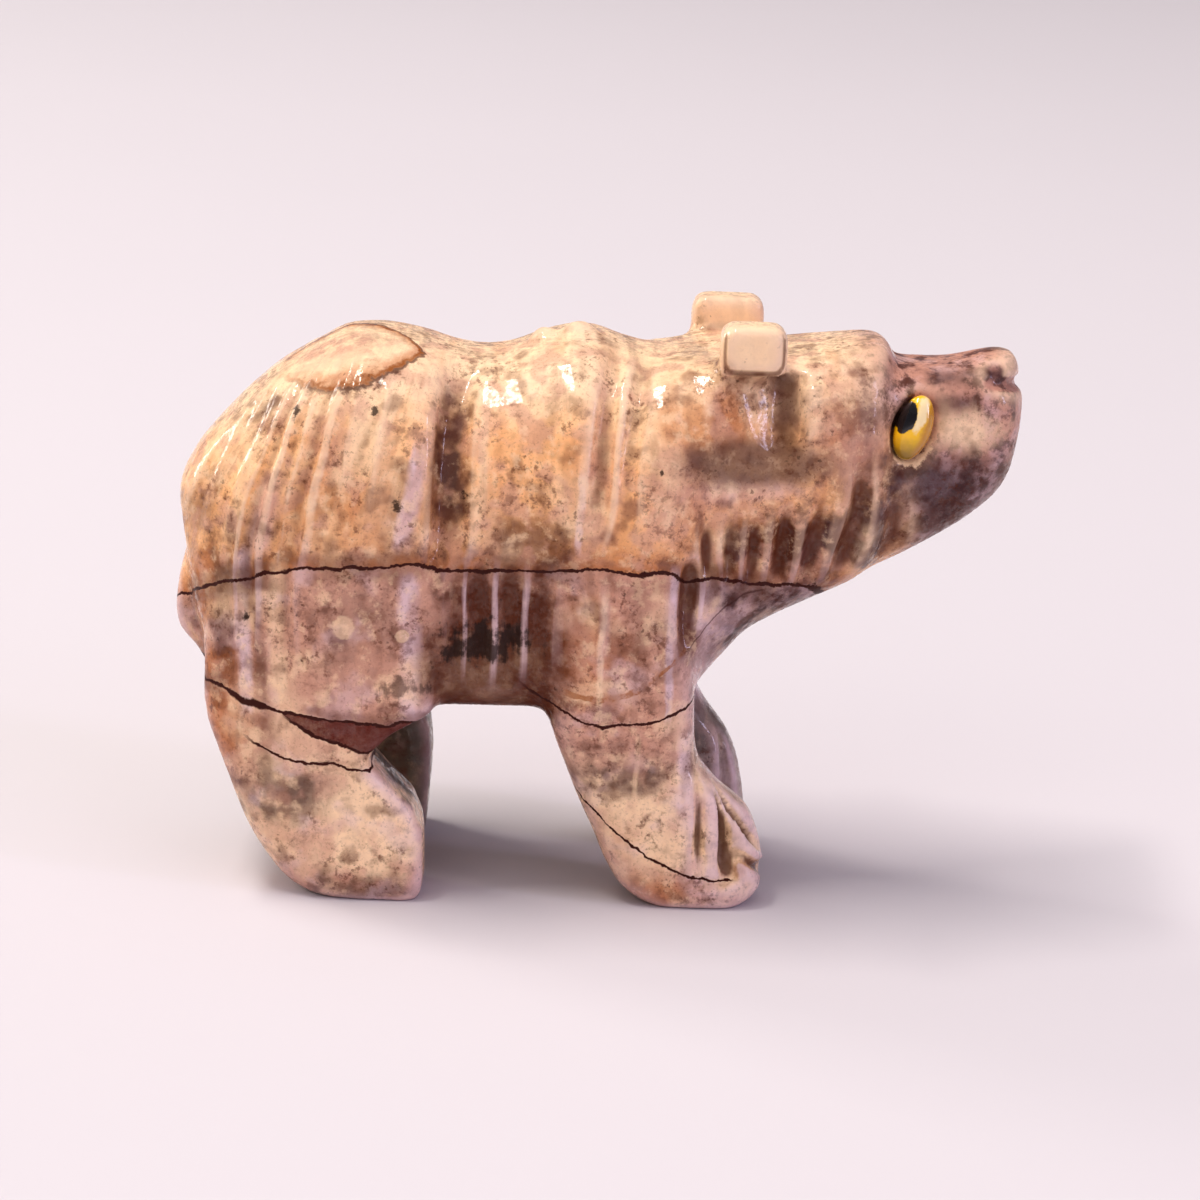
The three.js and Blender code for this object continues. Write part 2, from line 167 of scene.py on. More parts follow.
# Small hollows (positive) and swellings (negative) as (x, y, z), radius, depth. The viewer's side is
# the bear's right one, at negative y.
PITS = [
    ((27.2, -3.2, 38.5), 1.2, 0.35),
    ((27.2, 3.2, 38.5), 1.2, 0.35),
    ((19.5, -5.6, 35), 0.28, 0.15),
    ((-4.9, -0.6, 39.6), 1.5, -0.75),
    ((-2.3, -0.9, 40), 1.9, -0.75),
    ((-3.9, -0.8, 40.2), 0.8, 0.35),
]

# Each bead's half sizes and its lean in radians, and how far it bulges round the pupil
EYE = {"wide": 1.3, "high": 2.4, "deep": 1.1, "lean": 0.28}
BULGE = {"back": 0.3, "up": 0.3, "height": 0.05, "spread": 0.1}
PUPIL = (20.72, 35.45)

# Where the polish is held back so that small shapes keep their edges: centre, radii, share of polish.
# The share is whole again beyond a soft edge, whose outer side and width are in units of the radii.
KEPT_SHARP = [
    ((9.3, 0, 41.2), (4.2, 12, 3), 0.16),
    ((29, 0, 36.5), (3.2, 6, 5), 0.35),
    ((0, 0, 0), (60, 20, 2.4), 0.3),
    ((-30, 0, 20), (3, 5, 8), 0.4),
    ((8, -8, 5), (6, 5, 5), 0.5),
    ((14, -6, 34), (3.4, 6, 4), 0.4),
    ((-13, -8, 6), (5, 6, 8.5), 0.12),
    ((-13, 8, 6), (5, 6, 8.5), 0.12),
    ((20, 0, 36), (2, 8, 6), 0.4),
]
SHARP_OUTER = 1.25
SHARP_WIDTH = 0.5

# Where the wheel's flats are rubbed out once more, in the hollow under the viewer's ear
SOFTENED = ((9.6, -8.6, 35.8), (3.4, 6, 4.2))

# A fine line is cut round each ear's face: its middle, half its length and half its height by side,
# -1 being the viewer's, then its corners' radius, half its width, its depth and how far out it starts
EAR_LINES = {-1: (9.65, 40.45, 2.2, 1.75), 1: (8.6, 39.9, 2.5, 1.5)}
EAR_CORNER = 0.9
EAR_LINE = {"half": 0.3, "deep": 0.17, "from": 8.1}

# How dark that line is painted for each millimetre, for dirt and as painted shade under the ear's
# lower edge, and up to what height over its middle
EAR_DIRT_AND_SHADE = 5
EAR_DARKENED_TOP = 1.2

# The hollow under the viewer's ear: its rear and front edge, its top and bottom, how deep it is and
# how far out it starts, then its folds as (middle, width, further depth), and how dark it is painted
# by depth, for dirt and for the shade under the ear
SCOOP = {"rear": 6, "front": 13.8, "top": 38.4, "bottom": 32.6, "deep": 0.45, "from": 4}
SCOOP_FOLDS = [(8.4, 3.6, 0.2), (12, 2.4, 0.5)]
SCOOP_DIRT_AND_SHADE = 0.3

# The strands of fur fan out behind this x, fully so this much further back. Their lean there, in
# millimetres, at these degrees round the spine
FAN_FROM = -10
FAN_OVER = 6
FAN_LEAN = [(62, 3), (24, 0), (-50, -1.1)]
FAN_LIMITS = (-55, 75)

# How strongly each round of polishing draws the surface flat, and each round of buffing
POLISH_PULL = 0.5
BUFF_PULL = 0.35

# Hollows and crests are found against a copy rubbed over so many rounds. A hollow is darkened by its
# depth below the wide one, for dirt and as painted shade; crests are painted pale by their height
# above the narrow one, for wear and as painted highlight; and undersides are darkened as painted
# shade.
NARROW_ROUNDS = 16
WIDE_ROUNDS = 40
HOLLOW_DIRT_AND_SHADE = 1.7
CREST_WEAR_AND_HIGHLIGHT = 7
CLEAN_CREST = 2
UNDERSIDE_SHADE = 0.25

# The lights, as name, place, size, power, colour's name and whether the polish mirrors it
LIGHTS = [
    ("sky", (-0.30, -0.1, 1.2), (2, 1.8), 5.4, "warm", False),
    ("window", (-0.36, 0.02, 1.1), (0.7, 0.12), 8, "warm", True),
    ("front", (-0.55, -1.15, 0.7), (1.1, 1), 3.4, "warm", False),
    ("fill", (0.9, -1, 0.5), (1, 1), 2.6, "cool", False),
    ("right", (1.1, -0.45, 0.35), (0.12, 0.9), 3, "cool", True),
    ("rim", (-0.9, 0.6, 0.4), (0.3, 0.5), 3.6, "warm", True),
]
SURROUNDINGS = 0.34

# The lights and the camera are turned to this height over the floor
AIM = 20 * MM

# The floor's radius in metres, the part of it that is flat, and how steeply it turns up beyond
FLOOR = {"reach": 3, "flat": 1.6, "steep": 0.9, "rings": 24, "sides": 96}


def paint(red, green, blue):
    """A colour read from 0 to 255 as Blender's linear light."""
    return tuple((c / 12.92 if c <= 0.04045 else ((c + 0.055) / 1.055) ** 2.4)
                 for c in (red / 255, green / 255, blue / 255))


def colour(name, description, *levels):
    return FloatVectorProperty(
        name=name, description=description, default=paint(*levels), min=0, max=1, subtype="COLOR"
    )


class BearSizes(bpy.types.PropertyGroup):
    """How finely the stone is cut and polished."""

    grain: FloatProperty(
        name="Mesh grain", description="Edge length of the fine stone mesh",
        default=0.295 * MM, min=0.2 * MM, max=1 * MM, precision=5, unit="LENGTH",
    )
    polish: IntProperty(
        name="Polish", description="Rounds of polishing that melt the solid's facets",
        default=45, min=0, max=200,
    )
    buff: IntProperty(
        name="Buff", description="Rounds of light polishing after the flutes are cut",
        default=3, min=0, max=20,
    )
    relief: FloatProperty(
        name="Relief", description="Share of their full depth that the flutes are cut to",
        default=1.0, min=0.0, max=1.5,
    )


class StoneColours(bpy.types.PropertyGroup):
    """The colours of the banded stone."""

    honey: colour("Honey", "Upper stone", 252, 194, 140)
    # Cream also paints highlights on ridges and crests
    cream: colour("Cream", "Pale patches, ears and paws", 252, 218, 180)
    amber: colour("Amber", "Hollows and streaks", 192, 124, 78)
    # Umber is also laid in hollows and grooves, partly as painted shade
    umber: colour("Umber", "Deep streaks", 92, 44, 22)
    rose: colour("Rose", "Stone below the great vein", 206, 158, 136)
    # Lilac is also painted on crests and on ridge stripes as painted highlight
    lilac: colour("Lilac", "Cool patches and worn crests", 228, 200, 204)
    mauve: colour("Mauve", "Muzzle", 196, 146, 128)
    plum: colour("Plum", "Jaw", 66, 36, 38)
    ash: colour("Ash", "Grey mottling", 100, 74, 64)
    # Grey-green partly of the stone and partly painted shade on the far legs and the hind knee
    moss_and_shade: colour("Moss", "Grey-green of the far legs", 92, 88, 76)
    ink: colour("Ink", "Specks", 34, 18, 12)
    vein: colour("Vein", "Hairline veins", 62, 20, 10)
    rust: colour("Rust", "Band round the leaf on the hip", 150, 84, 24)
    maroon: colour("Maroon", "Lens in the hind leg", 96, 34, 22)


class BeadColours(bpy.types.PropertyGroup):
    """The colours of the bead eyes."""

    yolk: colour("Yolk", "Yellow of the bead", 250, 198, 0)
    olive_shade: colour("Olive", "Lower edge of the bead", 150, 116, 10)
    amber: colour("Amber", "Front edge of the bead", 176, 112, 16)
    pale: colour("Pale", "Painted light on the bead", 250, 232, 190)
    pupil: colour("Pupil", "Pupil", 10, 10, 14)


class StageLook(bpy.types.PropertyGroup):
    """The floor, the light and the camera."""

    floor: colour("Floor", "Floor and surroundings", 214, 210, 216)
    warm: colour("Warm light", "Light from above and the left", 255, 247, 238)
    cool: colour("Cool light", "Light from the right", 226, 220, 255)
    azimuth: FloatProperty(
        name="Azimuth", description="The camera's turn round the bear",
        default=math.radians(-2), unit="ROTATION",
    )
    elevation: FloatProperty(
        name="Elevation", description="The camera's height as an angle",
        default=math.radians(15), unit="ROTATION",
    )
    roll: FloatProperty(
        name="Roll", description="The camera's tilt about its line of sight",
        default=math.radians(2.45), unit="ROTATION",
    )
    distance: FloatProperty(
        name="Distance", description="From the camera to the bear",
        default=0.3, min=0.05, unit="LENGTH",
    )
    lens: FloatProperty(
        name="Lens", description="Focal length in millimetres on a 36 mm sensor",
        default=124.9, min=10,
    )


class BearSettings(bpy.types.PropertyGroup):
    """Everything that a user would change."""

    sizes: PointerProperty(type=BearSizes)
    stone: PointerProperty(type=StoneColours)
    bead: PointerProperty(type=BeadColours)
    stage: PointerProperty(type=StageLook)


def settings():
    return bpy.context.scene.stone_bear


def show(name, mesh):
    """A new object of that mesh, in the scene."""
    shape = bpy.data.objects.new(name, mesh)
    bpy.context.scene.collection.objects.link(shape)
    return shape


def rows_of(items, name, width, kind=np.float32):
    """The numbers that each of a mesh's items holds under a name, as rows."""
    flat = np.empty(len(items) * width, kind)
    items.foreach_get(name, flat)
    return flat.reshape(-1, width)


def points_of(mesh):
    """A mesh's vertices as rows of carver's millimetres."""
    return rows_of(mesh.vertices, "co", 3).astype(float) / MM - (SHIFT, 0, 0)


def normals_of(mesh):
    return rows_of(mesh.vertex_normals, "vector", 3).astype(float)


def move_to(mesh, points):
    flat = ((points + (SHIFT, 0, 0)) * MM).astype(np.float32).ravel()
    mesh.vertices.foreach_set("co", flat)
    mesh.update()


def around(values, edges):
    """The mean of each vertex's neighbours, for one number or several at each vertex."""
    count = len(values)
    one, two = edges[:, 0], edges[:, 1]
    ties = np.bincount(one, minlength=count) + np.bincount(two, minlength=count)
    columns = np.atleast_2d(values.T)
    sums = [
        np.bincount(one, column[two], count) + np.bincount(two, column[one], count)
        for column in columns
    ]
    return (np.stack(sums) / ties).T.reshape(values.shape)


def rub(values, edges, rounds, strength):
    """Draws each vertex towards its neighbours, round after round."""
    for _ in range(rounds):
        values = values + strength * (around(values, edges) - values)
    return values


def rub_true(points, edges, rounds, strength):
    """Rubs away the small shapes, then gives back what the large ones lost by it."""
    worn = rub(points, edges, rounds, strength)
    return worn + rub(points - worn, edges, rounds, strength)


def square_away(points, centre, radius):
    """The square of the distance from a centre, in units of its radius or radii."""
    return np.sum(((points - centre) / np.asarray(radius, float)) ** 2, axis=1)


def near(points, centre, radius):
    """1 at a centre and 0 beyond its radius or radii, round between."""
    return np.clip(1 - square_away(points, centre, radius), 0, 1) ** 2


def polish_share(points):
    """How much of the polish each vertex takes, as a column."""
    share = np.ones(len(points))
    for centre, radius, kept in KEPT_SHARP:
        far = np.sqrt(square_away(points, centre, radius))
        edge = np.clip((SHARP_OUTER - far) / SHARP_WIDTH, 0, 1)
        share = np.minimum(share, 1 - (1 - kept) * edge)
    return share[:, None]


def flute_depth(across, along, line, width, depth, slow=1.0):
    """How deep one wheel-cut flute goes at each place: round across, run out at both ends, and deepest
    below its middle where the wheel bites slowly."""
    stops = np.array(line, float)
    path = np.polyfit(stops[:, 1], stops[:, 0], len(stops) - 1)
    run = (along - stops[0, 1]) / (stops[-1, 1] - stops[0, 1])
    half = (width[0] + (width[1] - width[0]) * np.clip(run, 0, 1)) / 2
    offset = (across - np.polyval(path, along)) / half
    bite = 1 - np.abs(2 * np.clip(run, 0, 1) ** slow - 1) ** 3
    return depth * np.clip(1 - offset**2, 0, 1) * bite


def row_depth(across, along, row, slow=1.0):
    """The deepest of a row's flutes at each place, so that neighbours meet in a ridge."""
    return np.max([flute_depth(across, along, *flute, slow) for flute in row], axis=0)


def hand_shake(points, size):
    """A slow wander between -1 and 1 that keeps hand-ground cuts from being ruled ones."""
    x, y, z = points.T / size
    return (np.sin(x + 1.7 * np.sin(0.6 * z + y)) + np.sin(1.3 * z + 0.8 * x) * np.cos(0.9 * y)) / 2


def scoop_depth(x, z):
    """The hollow under the ear: full depth at the top, run out below, with a crisp front edge."""
    down = (SCOOP["top"] - z) / (SCOOP["top"] - SCOOP["bottom"])
    along = (x - SCOOP["rear"]) / (SCOOP["front"] - SCOOP["rear"])
    across = np.clip(np.sin(np.clip(along, 0, 1) ** 2.2 * math.pi), 0, 1) ** 0.7
    deep = SCOOP["deep"] * across
    for middle, width, more in SCOOP_FOLDS:
        deep = deep + more * np.clip(1 - (2 * (x - middle) / width) ** 2, 0, 1) ** 2
    inside = (down > 0) * (along > 0) * (along < 1)
    return deep * np.clip(1 - np.clip(down, 0, 1) ** 2.4, 0, 1) * inside


def fur_cuts(across, z, out, count):
    """The flutes on one side with their darkening, for dirt and painted shade, of which only so many
    in each row are cut.
    """
    turn = np.degrees(np.arctan2(z - SPINE_Z, out))
    for row, stain, slow in FLUTE_ROWS:
        yield row_depth(across, turn, row[:count], slow) * (out > 0), stain


def toe_cuts(x, z, out):
    """The grooves between the toes of a forefoot and where its toes end, each with its darkening for
    dirt and painted shade.
    """
    ahead, beside = x - FOREFOOT[0], out - FOREFOOT[1]
    bearing = np.degrees(np.arctan2(beside, ahead))
    foot = (z < FOOT_TOP) & (x > FOREFOOT[0] - 1) & (out > 0)
    reach = np.mean(np.hypot(ahead, beside)[foot])
    for line, width, depth in TOE_GROOVES:
        arc = [(reach * math.radians(degrees), height) for degrees, height in line]
        groove = flute_depth(reach * np.radians(bearing), z, arc, width, depth) * foot
        yield groove, TOE_DIRT_AND_SHADE * (groove - UNDARKENED_GROOVE)
    ends = row_depth(z, bearing, TOE_ENDS) * foot
    yield ends, TOE_DIRT_AND_SHADE * (ends - UNDARKENED_END)


def nose_cut(x, z, out):
    """The nostril slit on one side."""
    bearing = np.degrees(np.arctan2(out - NOSE_POST[1], x - NOSE_POST[0]))
    nose = (x > NOSE_BACK) & (out > NOSE_ACROSS)
    return row_depth(z, bearing, NOSTRIL_SLITS) * nose


def ear_cut(x, z, out, side):
    """The line round an ear's face, with its darkening for dirt and for painted shade under the ear.
    """
    middle_x, middle_z, half_x, half_z = EAR_LINES[side]
    over_x = np.maximum(np.abs(x - middle_x) - half_x + EAR_CORNER, 0)
    over_z = np.maximum(np.abs(z - middle_z) - half_z + EAR_CORNER, 0)
    apart = np.abs(np.hypot(over_x, over_z) - EAR_CORNER) / EAR_LINE["half"]
    line = EAR_LINE["deep"] * np.clip(1 - apart**2, 0, 1) * (out > EAR_LINE["from"])
    return line, EAR_DIRT_AND_SHADE * line * (z < middle_z + EAR_DARKENED_TOP)


def relief(points):
    """How deep the stone is cut at each point, in millimetres, and how dark the cuts are painted, for
    dirt and for the shade that falls in them.
    """
    x, y, z = points.T
    unsteady = FLUTE_SHAKE * hand_shake(points, SHAKE_SIZE)
    pressed = 1 + PRESS_SHAKE * hand_shake(points + PRESS_SHIFT, PRESS_SIZE)
    deep = np.zeros(len(points))
    dirt = np.zeros(len(points))
    for side, count in ((-1, None), (1, LEFT_COUNT)):
        out = side * y
        cuts = [(nose_cut(x, z, out), 0), ear_cut(x, z, out, side), *toe_cuts(x, z, out)]
        for flutes, stain in fur_cuts(x + unsteady, z, out, count):
            flutes = flutes * pressed
            cuts.append((flutes, flutes * flutes * stain))
        if side < 0:
            scoop = scoop_depth(x, z) * (out > SCOOP["from"])
            cuts.append((scoop, SCOOP_DIRT_AND_SHADE * scoop))
        for cut, cut_dirt_and_shade in cuts:
            deep = np.maximum(deep, cut)
            dirt = np.maximum(dirt, cut_dirt_and_shade)
    for centre, radius, depth in PITS:
        deep = deep + depth * near(points, centre, radius)
    return deep, dirt


def strand_of(points):
    """Which strand of fur runs through a point: its x where it crosses the level of the spine. The
    strands fan out over the rump and run upright elsewhere."""
    x, y, z = points.T
    turn = np.degrees(np.arctan2(z - SPINE_Z, np.abs(y)))
    fan = np.clip((FAN_FROM - x) / FAN_OVER, 0, 1)
    lean = np.polyfit(*zip(*FAN_LEAN), 2)
    return x - fan * np.polyval(lean, np.clip(turn, *FAN_LIMITS))


def keep(mesh, name, values):
    """Stores one number at each vertex for the stone's colours."""
    mesh.attributes.new(name, "FLOAT", "POINT").data.foreach_set("value", values.astype(np.float32))


def fine_copy(node, grain):
    """An even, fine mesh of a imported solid."""
    work = bmesh.new()
    work.from_mesh(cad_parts[node].data)
    bmesh.ops.remove_doubles(work, verts=work.verts, dist=MM / 1000)
    mesh = bpy.data.meshes.new(node)
    work.to_mesh(mesh)
    work.free()
    shape = show(node + "_stone", mesh)
    even = shape.modifiers.new("even", "REMESH")
    even.mode = "VOXEL"
    even.voxel_size = grain
    even.use_smooth_shade = True
    bpy.context.view_layer.update()
    fine = bpy.data.meshes.new_from_object(shape.evaluated_get(bpy.context.evaluated_depsgraph_get()))
    shape.modifiers.clear()
    shape.data = fine
    shape.data.materials.clear()
    bpy.data.meshes.remove(mesh)
    return shape


class Field:
    """What varies over a surface. Arithmetic on it adds Math nodes to its material."""

    def __init__(self, bench, socket):
        self.bench = bench
        self.socket = socket

    def __add__(self, other):
        return self.bench.math("ADD", self, other)

    def __sub__(self, other):
        return self.bench.math("SUBTRACT", self, other)

    def __rsub__(self, other):
        return self.bench.math("SUBTRACT", other, self)

    def __mul__(self, other):
        return self.bench.math("MULTIPLY", self, other)

    def __truediv__(self, other):
        return self.bench.math("DIVIDE", self, other)

    def __abs__(self):
        return self.bench.math("ABSOLUTE", self)

    __radd__ = __add__
    __rmul__ = __mul__

    def most(self, other):
        return self.bench.math("MAXIMUM", self, other)

    def rise(self, low, high):
        """0 at low and 1 at high, smooth between; low may be the larger."""
        return self.bench.node(
            "ShaderNodeMapRange", {"interpolation_type": "SMOOTHSTEP"},
            {"Value": self, "From Min": low, "From Max": high, "To Min": 0.0, "To Max": 1.0},
        )

    def output(self, name):
        """Another output of the same node."""
        return Field(self.bench, self.socket.node.outputs[name])


class Bench:
    """The nodes of one material, and the shade that they have built up so far."""

    def __init__(self, name, shade=None):
        self.material = bpy.data.materials.new(name)
        self.material.use_nodes = True
        self.tree = self.material.node_tree
        self.tree.nodes.clear()
        self.shade = shade

    def node(self, kind, settings=None, sockets=None, output=0):
        """Adds a node, with its settings first and then the values or links of its sockets."""
        added = self.tree.nodes.new(kind)
        for name, value in (settings or {}).items():
            if name == "stops":
                self.set_stops(added.color_ramp, value)
            else:
                setattr(added, name, value)
        for name, value in (sockets or {}).items():
            if isinstance(value, Field):
                self.tree.links.new(value.socket, added.inputs[name])
            else:
                added.inputs[name].default_value = value
        return Field(self, added.outputs[output]) if added.outputs else added

    def set_stops(self, ramp, stops):
        """Gives a colour ramp its stops, as (place, colour) from first to last."""
        while len(ramp.elements) < len(stops):
            ramp.elements.new(0.5)
        for element, (place, tint) in zip(ramp.elements, stops):
            element.position = place
            element.color = solid(tint)

    def math(self, operation, one, two=0.0):
        return self.node("ShaderNodeMath", {"operation": operation}, {0: one, 1: two})

    def place(self):
        """The point of the surface in carver's millimetres, as a vector and its three numbers."""
        at = self.node("ShaderNodeTexCoord", output="Object")
        at = self.node(
            "ShaderNodeVectorMath", {"operation": "MULTIPLY_ADD"},
            {0: at, 1: (1 / MM, 1 / MM, 1 / MM), 2: (-SHIFT, 0, 0)},
        )
        parts = self.node("ShaderNodeSeparateXYZ", sockets={0: at})
        return at, parts, parts.output("Y"), parts.output("Z")

    def vector(self, x, y, z):
        return self.node("ShaderNodeCombineXYZ", sockets={0: x, 1: y, 2: z})

    def moved(self, at, by):
        return self.node("ShaderNodeVectorMath", {"operation": "ADD"}, {0: at, 1: by})

    def stored(self, name):
        """A number kept at each vertex."""
        return self.node("ShaderNodeAttribute", {"attribute_name": name}, output="Fac")

    def noise(self, at, scale, detail=3.0, roughness=0.55):
        """Cloudy noise from about 0.2 to 0.8."""
        return self.node(
            "ShaderNodeTexNoise", None,
            {"Vector": at, "Scale": scale, "Detail": detail, "Roughness": roughness},
        )

    def grains(self, at, scale):
        """Distance from the nearest of many scattered points, and a random number for each of them."""
        found = self.node("ShaderNodeTexVoronoi", {"feature": "F1"}, {"Vector": at, "Scale": scale})
        tint = self.node("ShaderNodeSeparateColor", sockets={0: found.output("Color")})
        return found, tint

    def over(self, under, top, mask):
        """One colour laid over another as far as a mask says."""
        return self.node(
            "ShaderNodeMix", {"data_type": "RGBA"},
            {0: mask, 6: solid(under), 7: solid(top)}, output=2,
        )

    def lay(self, top, mask):
        """Lays a colour over the shade so far."""
        self.shade = self.over(self.shade, top, mask)

    def finish(self, surface):
        """Ends the material in a surface of the shade so far, with the given values or links."""
        surface = {"Base Color": self.shade, **surface}
        shader = self.node("ShaderNodeBsdfPrincipled", None, surface)
        self.node("ShaderNodeOutputMaterial", None, {"Surface": shader})
        return self.material


def solid(tint):
    """A colour with its alpha, where it isn't a link."""
    return tint if isinstance(tint, Field) else (*tint, 1.0)


def square(value):
    return value * value


def sheet(height, z, thin, soft=1.5):
    """A vein: 1 where the surface meets a sheet of the given height, 0 beyond its thickness."""
    return abs(z - height).rise(thin * soft, thin * 0.8)


def band(value, low, high, soft=0.6):
    """1 between two limits, with soft edges."""
    return value.rise(low - soft, low + soft) * value.rise(high + soft, high - soft)


def blob(bench, at, centre, radii):
    """Distance from a centre in units of the radii: 1 on the ellipsoid's surface."""
    moved = bench.moved(at, tuple(-c for c in centre))
    scaled = bench.node(
        "ShaderNodeVectorMath", {"operation": "DIVIDE"}, {0: moved, 1: radii}
    )
    return bench.node("ShaderNodeVectorMath", {"operation": "LENGTH"}, {0: scaled}, output="Value")


# Broad clouds of colour on the viewer's side, as colour, centre, radii and strength
CLOUDS = [
    ("ash", (-24.6, -8, 34.6), (3, 5, 1.8), 0.7),
    ("umber", (-25.5, -9, 26.6), (6, 6, 2.2), 0.3),
    ("amber", (-17.2, -10, 28.8), (3.6, 5, 4), 0.55),
    ("cream", (-16.6, -9.5, 33.4), (2.6, 5, 4.6), 0.7),
    # Painted shade in the deep flute behind the flank facet
    ("ash", (-11, -10.5, 32), (1.6, 5, 8), 1.1),
    ("umber", (-5, -10.5, 26.8), (4.8, 5, 2.6), 0.75),
    ("rose", (-0.9, -10, 31), (1.4, 6, 6), 0.7),
    ("amber", (5.2, -9, 35.4), (3.6, 6, 4.2), 0.5),
    ("mauve", (4.6, -10, 30.2), (3, 6, 4), 0.6),
    ("amber", (7.8, -8.5, 36), (1.9, 4, 2.8), 0.75),
    ("amber", (8.2, -9, 34.4), (1.8, 4, 1.8), 0.7),
    ("umber", (12, -8.5, 35.6), (0.8, 4, 2.4), 0.6),
    ("rose", (8.6, -9, 29.8), (7, 6, 1.8), 0.5),
    ("lilac", (9.4, -9, 30.6), (5, 6, 1), 0.4),
    ("umber", (13, -8, 26.2), (8.2, 6, 3.4), 1.15),
    ("cream", (14.5, -6.5, 37.6), (4.2, 6, 2), 0.7),
    ("cream", (-5.6, -9.5, 37.4), (3.8, 6, 1.2), 0.6),
    ("umber", (-8.8, -10, 18), (3.8, 6, 6.4), 1.3),
    ("umber", (-8.4, -9, 15.4), (4.8, 7, 3.2), 1.5),
    ("umber", (-5, -10, 18), (3.2, 6, 7.4), 1.3),
    ("amber", (-27, -8, 18.8), (2.8, 6, 5.6), 1),
    ("umber", (-27, -7, 20.5), (2.6, 6, 4.6), 0.7),
    ("amber", (-26.6, -8, 11), (2.8, 6, 4.4), 0.8),
    ("ash", (-21.8, -10, 8), (4.8, 6, 3.4), 0.9),
    ("cream", (-15.4, -10, 5.6), (4.4, 6, 4.8), 1.7),
    # Painted shade on the front facet of the hind knee
    ("moss_and_shade", (-14.6, -5, 8.2), (3.2, 4, 3.4), 1.3),
    ("ash", (-16, -10, 1), (4.4, 6, 1.3), 0.75),
    ("ash", (-16.5, -10.5, 20), (5, 6, 4.4), 0.3),
    ("ash", (2.2, -10, 10.2), (3.8, 6, 2), 0.9),
    ("cream", (6.4, -10, 9.4), (1.6, 6, 1.6), 0.9),
    ("cream", (5.8, -10, 4.6), (4.8, 6, 1.8), 0.85),
    ("amber", (4, -9.5, 1.2), (6, 6, 1.7), 0.8),
    ("cream", (9.8, -8, 4), (3.4, 6, 4.6), 0.9),
    ("amber", (-0.6, -10.5, 19), (3, 6, 5), 0.5),
    ("ash", (12.5, -7, 18.6), (3.4, 6, 3), 0.6),
    ("umber", (17.6, -7, 31), (2.6, 6, 5.6), 0.7),
    ("mauve", (16.8, -7, 34.4), (3, 5, 4.4), 0.8),
    ("ash", (17.6, -7, 35.8), (2.6, 5, 1.8), 0.6),
    ("plum", (23.7, -5, 38.2), (2.4, 4, 0.9), 0.85),
    ("plum", (24.4, -5, 36.3), (2.3, 4, 0.9), 0.75),
    ("cream", (25.4, -4.8, 34.3), (3.2, 4, 1.9), 0.9),
    ("plum", (23, -5, 30.6), (6, 5, 3), 1),
    ("plum", (27.4, -4, 38.2), (1.4, 4, 0.8), 0.9),
    ("plum", (18, -6, 26.6), (4.6, 6, 2.8), 1),
    ("rust", (11.2, -9, 3), (1.4, 4, 1), 0.8),
    ("lilac", (8.6, 7, 12.5), (3, 5, 2.5), 0.7),
    # The far foreleg's inner side, in grey-green that is partly painted shade
    ("moss_and_shade", (8.2, 6, 9), (3, 5, 2.5), 0.8),
]

# Upright stripes on the viewer's side, as colour, strand of fur, half its width, its lower and upper
# end and strength. Most are stone that the flutes lay bare; those marked below are painted highlights
# on ridges and painted shade in grooves.
STRIPES = [
    ("amber", -27, 0.9, 14.5, 24.5, 0.6),
    ("umber", -25.2, 0.7, 15.5, 24.5, 0.55),
    ("lilac", -23.8, 0.5, 13.5, 24.9, 0.85),
    ("umber", -22.7, 0.45, 14.5, 24.5, 0.5),
    ("cream", -21.4, 0.6, 15, 24.5, 0.6),
    # Painted highlight down the thigh's front edge
    ("lilac", -12.7, 0.55, 13.5, 24, 0.8),
    ("umber", -27.2, 0.6, 25.5, 31, 0.4),
    ("cream", -25, 0.5, 25.5, 33, 0.5),
    ("lilac", -23, 0.8, 25.2, 30.5, 0.5),
    ("amber", -20.6, 1.1, 26, 34, 0.5),
    ("cream", -18.4, 0.7, 30, 37, 0.6),
    ("cream", -16.4, 0.6, 31.5, 37, 0.5),
    ("ash", -13.8, 1, 25.5, 32, 0.45),
    # Next three: a painted highlight on the thigh's front edge, painted shade in the groove before the
    # flank facet and a painted highlight on the facet's left edge
    ("lilac", -13.3, 0.55, 26, 33.5, 1),
    ("umber", -12.1, 0.4, 27, 36.5, 0.5),
    ("cream", -8.8, 0.3, 28.5, 37, 0.7),
    ("lilac", -2, 0.25, 26.5, 31.5, 0.7),
    # The cream at -0.1 and the lilac at 4.7 are painted highlights on the foreleg's ridges, the umber
    # at 5.9 painted shade beside the step
    ("cream", -0.1, 0.22, 14.5, 23, 0.7),
    ("umber", 0.9, 0.5, 15, 21, 0.35),
    ("umber", 2.6, 0.6, 16, 20.5, 0.35),
    ("lilac", 4.7, 0.26, 14, 24.6, 0.9),
    ("umber", 5.9, 0.8, 18, 24.5, 0.75),
    # Painted highlights down the forearm
    ("cream", 2.7, 0.2, 8.5, 13, 0.6),
    ("lilac", 6.2, 0.5, 7.5, 13.5, 0.75),
]

# Two pale flecks in the thigh, as centre and radii
FLECKS = [
    ((-18.1, -10.9, 20.3), (0.8, 3, 0.9)),
    ((-14, -10.9, 19.8), (0.5, 3, 0.5)),
]

# Smudges of ink on the viewer's side, as centre, radii and strength
SMUDGES = [
    ((-8, -9.8, 19.2), (3.6, 4, 1.7), 0.85),
    ((-14, -10.9, 16), (2, 4, 1), 0.6),
]

